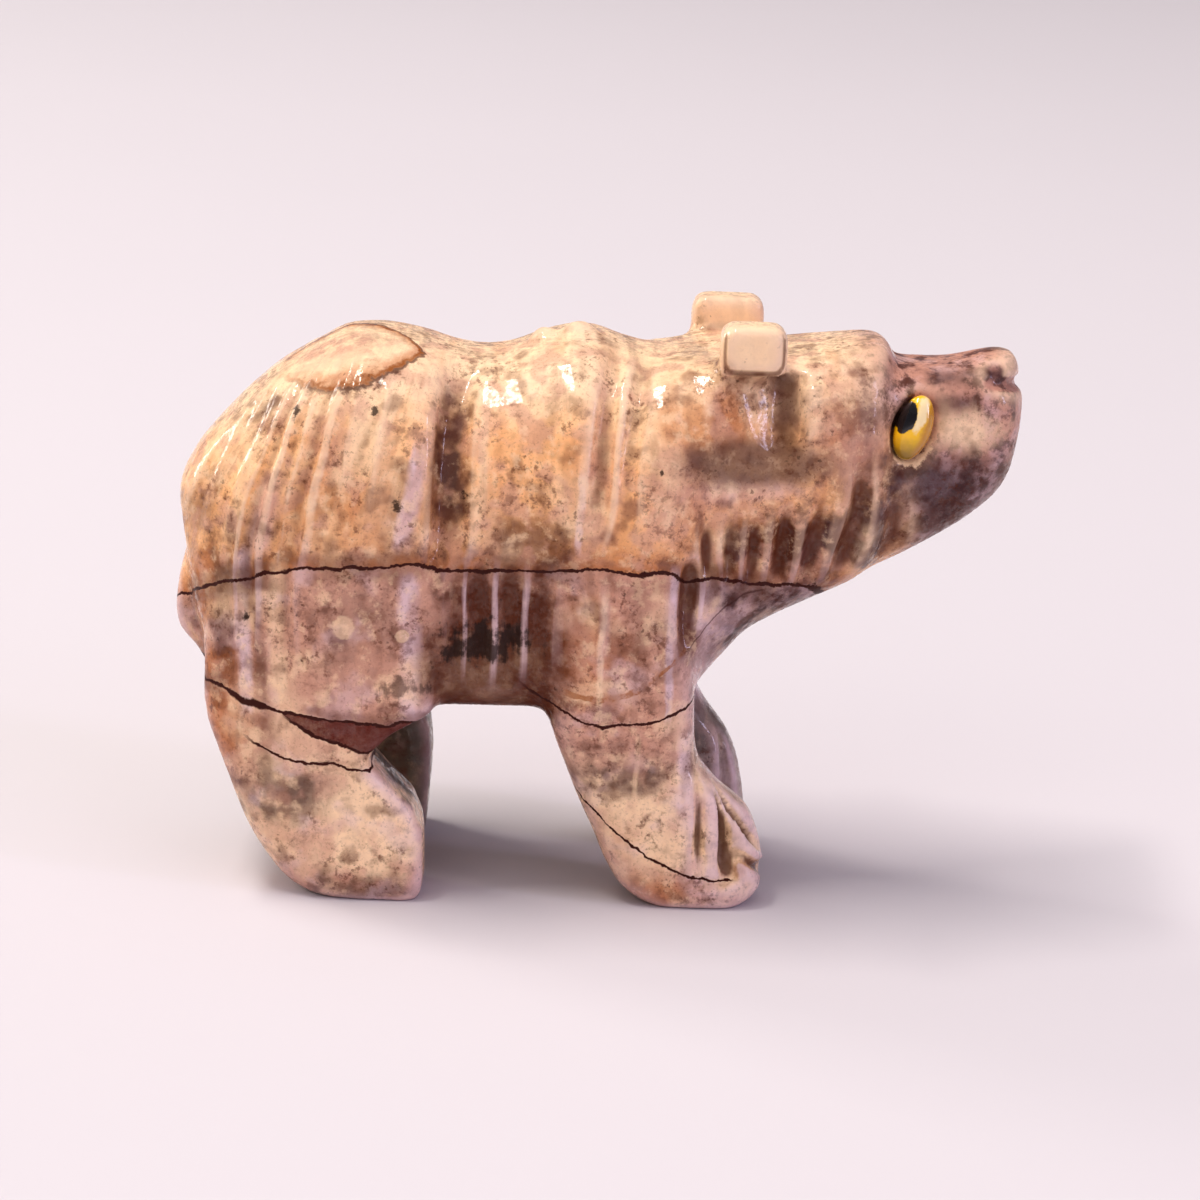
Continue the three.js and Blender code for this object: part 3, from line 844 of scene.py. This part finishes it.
# Large ink spots on the viewer's side, as (x, y, z) and their size
SPOTS = [
    ((-21.9, -8.4, 35.2), 0.9),
    ((-24.6, -9, 31.8), 0.6),
    ((-16.4, -9, 35.4), 0.6),
    ((-14.6, -10.9, 29), 0.7),
    ((-10.1, -10, 29.6), 0.7),
    ((-3.4, -10.2, 34.2), 0.4),
    ((-5.1, -10.2, 33.8), 0.4),
    ((-25, -9.6, 20.4), 0.6),
    ((1, -8, 37.6), 0.4),
    ((3.5, -10.6, 32), 0.3),
    ((19.55, -6.2, 35.2), 0.34),
]

# Rough patches that the polish has left sparkling, as centre and radii
CHIPS = [
    ((-5.6, -9.4, 37), (3.6, 3, 1.2)),
    ((3.4, -9, 37.6), (2.4, 3, 1.2)),
    ((-0.9, -10.4, 29.6), (1.5, 3, 1.3)),
    ((16, -6.8, 36.6), (2.4, 3, 0.9)),
    ((-17.5, -8.5, 36), (1.6, 3, 2.4)),
    ((22, -6, 31), (1.2, 3, 2)),
    ((28.4, -3.4, 36.8), (1, 3, 2)),
]


def veins(bench, at, x, y, z, near_side, wander, shake, thick):
    """A mask of the hairline veins, the level of the great vein and of the hip vein, and a mask of the
    red lens that hangs from the hip vein."""
    fault = bench.math("SNAP", bench.noise(at, 0.35, 0), 0.06)
    slip = 0.8 * (fault - 0.5) + 0.6 * wander + 0.6 * shake
    droop = (-5 - x).most(0)
    great = 25 - 0.4 * (y + 11) - 0.0026 * square(droop) + slip
    hip = 13.3 + 0.015 * square(x + 16) + slip
    elbow = 13.7 + 0.06 * square(x - 1) + slip
    under_lens = 11.4 + 0.07 * square(x + 16.5) + slip
    third = 10.1 + 0.03 * square(x + 17.5) + slip
    sole = 2.2 + 0.05 * square(9.8 - x) + 0.4 * slip + 0.6 * shake
    chest = 23.2 - 0.15 * square(11.3 - x) + 0.6 * shake
    lines = sheet(great, z, thick * 1.2)
    for line in (
        sheet(hip, z, thick * (1.3 + band(x, -26, -23.5, 0.4) * 1.8)) * x.rise(-8, -9.5),
        sheet(elbow, z, thick) * x.rise(-6.5, -4.5) * x.rise(9.5, 7.5),
        sheet(under_lens, z, thick * 1.2) * band(x, -22, -11, 0.5) * near_side,
        sheet(third, z, thick * 0.9) * band(x, -24.6, -14, 0.7) * near_side,
        sheet(sole, z, thick) * band(x, -1.5, 9.9, 0.2) * near_side,
        sheet(chest, z, thick * 0.8) * band(x, 6, 11.2, 0.4) * 0.6,
    ):
        lines = lines.most(line)
    lens = (hip - z).rise(0, 0.1) * (z - under_lens).rise(0, 0.1) * near_side * x.rise(-9, -10)
    return lines, great, hip, lens


def bear_stone():
    """Banded stone, worked out through the block, under a clear gloss."""
    look = settings().stone
    bench = Bench("banded_stone")
    at, x, y, z = bench.place()
    hollow = bench.stored("hollow")
    crest = bench.stored("crest")
    strand = bench.stored("strand")

    wander = bench.noise(at, 0.22, 3) - 0.5
    shake = bench.noise(at, 1.1, 4, 0.6) - 0.5
    clouds = bench.noise(at, 0.2, 3, 0.5)
    drift = bench.noise(bench.moved(at, (40, 0, 0)), 0.3, 3, 0.5)
    soft = bench.noise(bench.moved(at, (0, 0, 50)), 0.5, 2, 0.5)
    mottle = bench.noise(at, 0.8, 5, 0.62)
    dirt = bench.noise(bench.moved(at, (0, 20, 0)), 2, 5, 0.66)
    fine = bench.noise(at, 5, 3, 0.6)
    streaks = bench.noise(bench.vector(strand * 0.55, y * 0.1, z * 0.12), 1, 2, 0.5)
    hairs = bench.noise(bench.vector(strand * 2.6, y * 0.2, z * 0.35), 1, 3, 0.6)
    dirty = bench.noise(bench.moved(at, (0, 30, 0)), 0.33, 2).rise(0.42, 0.62)
    near_side = y.rise(-3, -5)
    thick = 0.035 + 0.1 * mottle
    lines, great, hip, lens = veins(bench, at, x, y, z, near_side, wander, shake, thick)

    # The great vein crosses the whole block and dips towards the left side; the bands follow it
    level = z - great
    stops = [
        (-25, look.amber), (-22, look.rose), (-17, look.cream), (-12.5, look.rose), (-10.5, look.rose),
        (-6.5, look.rose), (-3, look.rose), (-0.1, look.rose), (0.1, look.amber), (2.5, look.honey),
        (10, look.honey), (13.5, look.cream), (17, look.cream),
    ]
    lowest, span = stops[0][0], stops[-1][0] - stops[0][0]
    stops = [((height - lowest) / span, tuple(tint)) for height, tint in stops]
    banded = (level + 2.5 * wander * level.rise(0.3, 4) - lowest) / span
    bench.shade = bench.node("ShaderNodeValToRGB", {"stops": stops}, {"Fac": banded})
    above = level.rise(-0.1, 0.2)
    breast = x.rise(4.5, 7.5) * level.rise(0.2, -0.5)
    bench.lay(look.lilac, breast * 0.6)
    # The far legs are painted grey-green, partly their stone and partly painted shade between the legs
    far = y.rise(-0.5, 2.5) * z.rise(16.5, 12.5)
    bench.lay(look.moss_and_shade, far * (0.7 + 0.5 * soft) * (1 - 0.4 * x.rise(-4, 4)))

    # The muzzle, then broad clouds and stripes
    snout = (x + 0.25 * (z - 34) + 2 * wander).rise(16.5, 21.5)
    muzzle = bench.over(look.mauve, look.plum, (z + 5 * wander).rise(34, 30.4) * 0.85)
    muzzle = bench.over(muzzle, look.lilac, soft.rise(0.5, 0.68) * 0.3)
    muzzle = bench.over(muzzle, look.plum, mottle.rise(0.52, 0.36) * 0.85)
    bench.lay(muzzle, snout)
    throat = x.rise(5.5, 9) * z.rise(15, 19) * (level + 2 * wander).rise(1.6, -0.6)
    bench.lay(look.plum, throat * (0.7 + 0.3 * mottle.rise(0.56, 0.42)))
    ragged = 1.4 * (soft - 0.5) + 0.9 * (mottle - 0.5)
    for tint, centre, radii, strength in CLOUDS:
        cloud = blob(bench, at, centre, radii) + ragged
        bench.lay(getattr(look, tint), cloud.rise(1.25, 0.2) * strength)
    edges = 0.7 * wander + 0.5 * (mottle - 0.5)
    for tint, middle, half, low, high, strength in STRIPES:
        across = abs(strand + edges - middle).rise(half * 1.5, half * 0.4)
        stripe = across * band(z + 3 * (soft - 0.5), low, high, 0.8) * near_side
        bench.lay(getattr(look, tint), stripe * strength)

    # Soft patches, streaks along the fur, and dirt in the grain
    belly = blob(bench, at, (-7.4, -10, 18), (6, 7, 6.6)).rise(1.1, 0.7)
    under_scoop = (blob(bench, at, (10.2, -8.5, 32.4), (6.2, 5, 1.9)) + 0.8 * wander).rise(1.25, 0.5)
    body = (1 - snout) * (1 - 0.7 * far) * (1 - 0.6 * belly) * (1 - 0.6 * under_scoop.most(throat))
    bench.lay(look.cream, clouds.rise(0.48, 0.64) * body * 0.5)
    bench.lay(look.lilac, drift.rise(0.53, 0.66) * (0.35 - 0.25 * above) * (1 - belly))
    bench.lay(look.amber, streaks.rise(0.52, 0.66) * body * (0.12 + 0.2 * above))
    bench.lay(look.umber, streaks.rise(0.46, 0.32) * body * 0.3)
    bench.lay(look.rose, soft.rise(0.5, 0.64) * body * (0.4 + 0.2 * above))
    bench.lay(look.umber, soft.rise(0.46, 0.3) * 0.45)
    bench.lay(look.ash, under_scoop * 0.8)
    bench.lay(look.umber, mottle.rise(0.5, 0.34) * (0.1 + 0.4 * dirty))
    bench.lay(look.cream, mottle.rise(0.52, 0.66) * body * 0.4)
    bench.lay(look.umber, (dirt.rise(0.48, 0.34) * (0.1 + 0.55 * dirty)).most(belly * 0.55))
    bench.lay(look.umber, hairs.rise(0.56, 0.72) * body * 0.1)
    bench.lay(look.umber, fine.rise(0.46, 0.3) * 0.25)
    for centre, radii in FLECKS:
        fleck = (blob(bench, at, centre, radii) + 0.8 * (dirt - 0.5)).rise(1.1, 0.8)
        bench.lay(look.cream, fleck * 0.45)
    for side in (-1, 1):
        middle_x, middle_z, half_x, half_z = EAR_LINES[side]
        ear = blob(bench, at, (middle_x, side * 7.2, middle_z), (half_x * 1.2, 2.6, half_z * 1.2))
        bench.lay(look.cream, ear.rise(1.1, 0.8) * 0.85)

    # Depth: hollows and undersides are darkened, for darker polish in them and as painted shade;
    # crests are painted pale, for wear and as painted highlight
    bench.lay(look.umber, hollow.rise(0.05, 1) * (0.45 + 0.7 * streaks))
    # Crests are painted pale lilac or cream, for wear and as painted highlight
    worn = bench.over(look.lilac, look.cream, level.rise(0.2, 3) * 0.8)
    mane = blob(bench, at, (13, -8, 27), (8, 6, 4.5)).rise(1.2, 0.7)
    bench.lay(worn, crest.rise(0.15, 1) * (0.3 + 0.6 * mottle) * (1 - 0.55 * mane))

    # The leaf on the hip comes to a point towards the nose
    leaf_x = (x + 18.6) / 5.6
    leaf_y = (y + 3.4 + 0.25 * (x + 17.6)) / 4.6
    leaf = square(leaf_x) + abs(leaf_y) + 0.35 * wander + 0.3 * shake
    on_top = z.rise(35.4, 36.6)
    bench.lay(look.cream, leaf.rise(1, 0.7) * 0.45 * on_top)
    bench.lay(look.mauve, leaf.rise(0.6, 0.2) * mottle.rise(0.4, 0.6) * 0.7 * on_top)
    edge = on_top * x.rise(-24, -20)
    bench.lay(look.amber, band(leaf, 0.75, 1, 0.12) * edge * mottle)
    bench.lay(look.rust, band(leaf, 0.91, 1, 0.04) * edge * (0.4 + 0.9 * soft))
    bench.lay(look.vein, abs(leaf - 1.02).rise(0.05, 0.01) * edge * 0.7)

    # Veins, with a stained margin and the red lens
    stain = sheet(great, z, 0.8, 2) * clouds.rise(0.4, 0.56)
    stain = stain.most(sheet(hip, z, 0.6, 2) * clouds.rise(0.56, 0.44) * x.rise(-8, -9.5))
    bench.lay(look.umber, stain * 0.5)
    bench.lay(look.maroon, lens * (0.6 + 0.6 * dirt))
    bench.lay(look.vein, lines)
    orange_line = 15.6 + 0.09 * square(x + 0.5) + 0.5 * wander + 0.6 * shake
    orange = sheet(orange_line, z, 0.04 + 0.3 * soft) * band(x, -2.5, 5.6, 0.5) * near_side
    bench.lay(look.rust, orange * mottle.rise(0.4, 0.55) * 0.7)

    # Glue shows pale round the lower edge of each eye
    bead = blob(bench, at, (21.2, -6, 34.7), (1.6, 4, 2.75)) + 0.5 * (dirt - 0.5)
    glue = band(bead, 0.9, 1.1, 0.06) * z.rise(34.8, 33.4) * near_side
    bench.lay(look.cream, glue * 0.8)

    # Ink: smudges, large spots, and pepper in clusters
    blotched = 3.0 * (mottle - 0.5) + 1.6 * (hairs - 0.5)
    inked = 0.0
    for centre, radii, strength in SMUDGES:
        smudge = blob(bench, at, centre, radii) + blotched
        inked = (smudge.rise(1.05, 0.45) * strength).most(inked)
    for centre, size in SPOTS:
        spot = blob(bench, at, centre, (size * 0.6, size * 2, size)) + 2.6 * (dirt - 0.5)
        inked = inked.most(spot.rise(0.95, 0.5) * 0.85)
    dots, random = bench.grains(at, 2.2)
    pepper = (dots + 1.6 * (fine - 0.5)).rise(0.28, 0.06) * random.rise(0.64, 0.86) * dirty
    inked = inked.most(pepper * 0.45)
    bench.lay(look.ink, inked)

    # The polish is broken by fine pores, so that what it mirrors glitters
    sparkle = bench.noise(bench.moved(at, (0, -30, 0)), 2.4, 4, 0.7).rise(0.44, 0.58)
    rough = 0.0
    for centre, radii in CHIPS:
        rough = blob(bench, at, centre, radii).rise(1.2, 0.6).most(rough)
    chips = bench.noise(at, 2.4, 2)
    fanned = x.rise(-11, -15) * z.rise(27, 32)
    height = (0.15 + 1.5 * fanned) * hairs + 0.4 * fine + 0.4 * dirt + 0.8 * mottle
    height = height - 0.35 * lines - 0.3 * pepper + 3.0 * rough * chips
    bump = bench.node(
        "ShaderNodeBump", None, {"Height": height, "Strength": 0.45, "Distance": 0.1 * MM},
    )
    return bench.finish({
        "Roughness": 0.4 + 0.25 * mottle,
        "Specular IOR Level": 0.2,
        "Normal": bump,
        "Coat Weight": (0.12 + 0.83 * sparkle) * (1 - 0.8 * lines.most(inked)),
        "Coat Roughness": 0.05,
        "Coat IOR": 1.42,
    })


def bead_glass():
    """Yellow bead with a dark pupil towards the rear, under a clear gloss."""
    look = settings().bead
    bench = Bench("yellow_bead", look.yolk)
    at, x, _, z = bench.place()
    leaned = x - EYE["lean"] * (z - PUPIL[1])
    upright = bench.vector(leaned, 0, z)
    cloudy = 1.2 * (bench.noise(at, 1.6, 4, 0.6) - 0.5)
    pupil = blob(bench, upright, (PUPIL[0], 0, PUPIL[1]), (0.7, 1, 1.05)) + 0.4 * cloudy
    light = blob(bench, upright, (PUPIL[0] + 0.9, 0, PUPIL[1] + 0.3), (0.5, 1, 1.3)) + cloudy
    front = (leaned + 0.6 * cloudy).rise(PUPIL[0] + 1, PUPIL[0] + 1.7)
    # Olive towards the bead's bottom is painted shade
    bench.lay(look.olive_shade, (z + 0.6 * cloudy).rise(34.4, 32.6))
    bench.lay(look.amber, front * 0.8)
    bench.lay(look.pale, light.rise(1.1, 0.6) * 0.85)
    bench.lay(look.pupil, pupil.rise(1.06, 0.94))
    return bench.finish({"Roughness": 0.25, "Coat Weight": 1, "Coat Roughness": 0.02})


def floor_paint():
    """A pale, dull surface, hardly clouded."""
    pale = settings().stage.floor
    bench = Bench("pale_floor", pale)
    at = bench.node("ShaderNodeTexCoord", output="Object")
    bench.lay(tuple(0.985 * c for c in pale), bench.noise(at, 3.0).rise(0.3, 0.7))
    return bench.finish({"Roughness": 0.9, "Specular IOR Level": 0.1})


def area_light(name, place, size, power, tint, mirrored):
    """A soft rectangular light that faces the bear, and that its polish mirrors or not."""
    lamp = bpy.data.lights.new(name, "AREA")
    lamp.shape = "RECTANGLE"
    lamp.size, lamp.size_y = size
    lamp.energy = power
    lamp.color = tint
    light = bpy.data.objects.new(name, lamp)
    light.location = place
    light.visible_glossy = mirrored
    aim = Vector((0, 0, AIM)) - Vector(place)
    light.rotation_euler = aim.to_track_quat("-Z", "Y").to_euler()
    bpy.context.scene.collection.objects.link(light)


class BEAR_OT_stage(bpy.types.Operator):
    """Makes the floor, the lights and the camera"""

    bl_idname = "bear.stage"
    bl_label = "Stage"

    def execute(self, context):
        look = settings().stage
        self.floor()
        for name, place, size, power, tint, mirrored in LIGHTS:
            area_light(name, place, size, power, getattr(look, tint), mirrored)
        world = context.scene.world or bpy.data.worlds.new("surroundings")
        context.scene.world = world
        world.use_nodes = True
        back = world.node_tree.nodes["Background"]
        back.inputs["Color"].default_value = (*look.floor, 1)
        back.inputs["Strength"].default_value = SURROUNDINGS
        context.scene.view_settings.view_transform = "Standard"
        context.scene.view_settings.look = "Medium High Contrast"
        self.camera(context)
        return {"FINISHED"}

    def floor(self):
        """A wide round floor that turns up at its rim."""
        rings, sides = FLOOR["rings"], FLOOR["sides"]
        turns = [2 * math.pi * k / sides for k in range(sides)]
        work = bmesh.new()
        middle = work.verts.new((0, 0, 0))
        last = None
        for ring in range(1, rings + 1):
            reach = FLOOR["reach"] * (ring / rings) ** 1.5
            rise = max(0, reach - FLOOR["flat"]) ** 2 * FLOOR["steep"]
            now = [work.verts.new((reach * math.cos(t), reach * math.sin(t), rise)) for t in turns]
            for k in range(sides):
                after = (k + 1) % sides
                if last is None:
                    work.faces.new((middle, now[k], now[after]))
                else:
                    work.faces.new((last[k], now[k], now[after], last[after]))
            last = now
        mesh = bpy.data.meshes.new("floor")
        work.to_mesh(mesh)
        work.free()
        mesh.shade_smooth()
        mesh.materials.append(floor_paint())
        show("floor", mesh)

    def camera(self, context):
        look = settings().stage
        a, e, r = look.azimuth, look.elevation, look.roll
        back = Vector((math.sin(a) * math.cos(e), -math.cos(a) * math.cos(e), math.sin(e)))
        level = Vector((math.cos(a), math.sin(a), 0))
        upright = back.cross(level)
        right = level * math.cos(r) + upright * math.sin(r)
        up = upright * math.cos(r) - level * math.sin(r)
        lens = bpy.data.cameras.new("camera")
        lens.lens = look.lens
        lens.sensor_width = 36
        lens.clip_start = 0.01
        camera = bpy.data.objects.new("camera", lens)
        context.scene.collection.objects.link(camera)
        target = Vector((SHIFT * MM, 0, AIM))
        turn = Matrix((right, up, back)).transposed().to_4x4()
        camera.matrix_world = Matrix.Translation(target + back * look.distance) @ turn
        context.scene.camera = camera


class BEAR_OT_stone(bpy.types.Operator):
    """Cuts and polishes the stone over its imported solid"""

    bl_idname = "bear.stone"
    bl_label = "Stone"

    def execute(self, context):
        sizes = settings().sizes
        stone = fine_copy("bear", sizes.grain)
        stone.name = "carved_stone"
        mesh = stone.data
        edges = rows_of(mesh.edges, "vertices", 2, np.int32)
        points = points_of(mesh)
        points = rub_true(points, edges, sizes.polish, POLISH_PULL * polish_share(points))
        points = rub(points, edges, sizes.polish, POLISH_PULL * near(points, *SOFTENED)[:, None])
        move_to(mesh, points)
        deep, dirt = relief(points)
        points = points - normals_of(mesh) * deep[:, None] * sizes.relief
        points = rub(points, edges, sizes.buff, BUFF_PULL)
        points[:, 2] = np.maximum(points[:, 2], 0)
        move_to(mesh, points)

        normals = normals_of(mesh)
        narrow, wide = (
            np.sum((points - rub(points, edges, rounds, POLISH_PULL)) * normals, axis=1)
            for rounds in (NARROW_ROUNDS, WIDE_ROUNDS)
        )
        # Undersides are darkened as painted shade
        below = UNDERSIDE_SHADE * np.clip(-normals[:, 2], 0, 1)
        # Hollows are darkened by their depth, for dirt and as painted shade
        keep(mesh, "hollow", dirt + below + np.clip(-wide, 0, 1) * HOLLOW_DIRT_AND_SHADE)
        # Crests are painted pale, for wear and as painted highlight
        keep(mesh, "crest", np.clip(narrow, 0, 1) * CREST_WEAR_AND_HIGHLIGHT - CLEAN_CREST * dirt)
        keep(mesh, "strand", strand_of(points))
        mesh.shade_smooth()
        mesh.materials.append(bear_stone())
        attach(stone, BODY)
        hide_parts("bear")
        return {"FINISHED"}


class BEAR_OT_eyes(bpy.types.Operator):
    """Sets the two bead eyes"""

    bl_idname = "bear.eyes"
    bl_label = "Eyes"

    def execute(self, context):
        for name in ("right_eye", "left_eye"):
            self.bead(name)
        return {"FINISHED"}

    def bead(self, name):
        """An oval bead, a little fuller at its pupil."""
        low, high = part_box(name)
        middle = (low + high) / 2
        work = bmesh.new()
        bmesh.ops.create_uvsphere(work, u_segments=48, v_segments=32, radius=1)
        lean = Matrix.Rotation(EYE["lean"], 3, "Y")
        for vert in work.verts:
            x, y, z = vert.co
            off = (x + BULGE["back"]) ** 2 + (z - BULGE["up"]) ** 2
            full = 1 + BULGE["height"] * math.exp(-off / BULGE["spread"])
            shape = Vector((x * EYE["wide"], y * EYE["deep"] * full, z * EYE["high"]))
            vert.co = middle + lean @ shape * MM
        mesh = bpy.data.meshes.new(name + "_bead")
        work.to_mesh(mesh)
        work.free()
        mesh.shade_smooth()
        mesh.materials.append(bead_glass())
        piece = show(name + "_bead", mesh)
        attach(piece, BODY)
        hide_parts(name)


class BEAR_PT_panel(bpy.types.Panel):
    """Buttons and settings of the stone bear"""

    bl_idname = "BEAR_PT_panel"
    bl_label = "Stone bear"
    bl_space_type = "VIEW_3D"
    bl_region_type = "UI"
    bl_category = "Stone bear"

    def draw(self, context):
        for operator in OPERATORS:
            self.layout.operator(operator.bl_idname)
        bear = settings()
        for group in (bear.sizes, bear.stone, bear.bead, bear.stage):
            box = self.layout.box()
            for name in group.__annotations__:
                box.prop(group, name)


OPERATORS = (BEAR_OT_stage, BEAR_OT_stone, BEAR_OT_eyes)
GROUPS = (BearSizes, StoneColours, BeadColours, StageLook, BearSettings)


def register():
    for kind in (*GROUPS, *OPERATORS, BEAR_PT_panel):
        bpy.utils.register_class(kind)
    bpy.types.Scene.stone_bear = PointerProperty(type=BearSettings)


def unregister():
    del bpy.types.Scene.stone_bear
    for kind in reversed((*GROUPS, *OPERATORS, BEAR_PT_panel)):
        bpy.utils.unregister_class(kind)


def main():
    register()
    bpy.ops.bear.stage()
    bpy.ops.bear.stone()
    bpy.ops.bear.eyes()


if __name__ == "__main__":
    main()
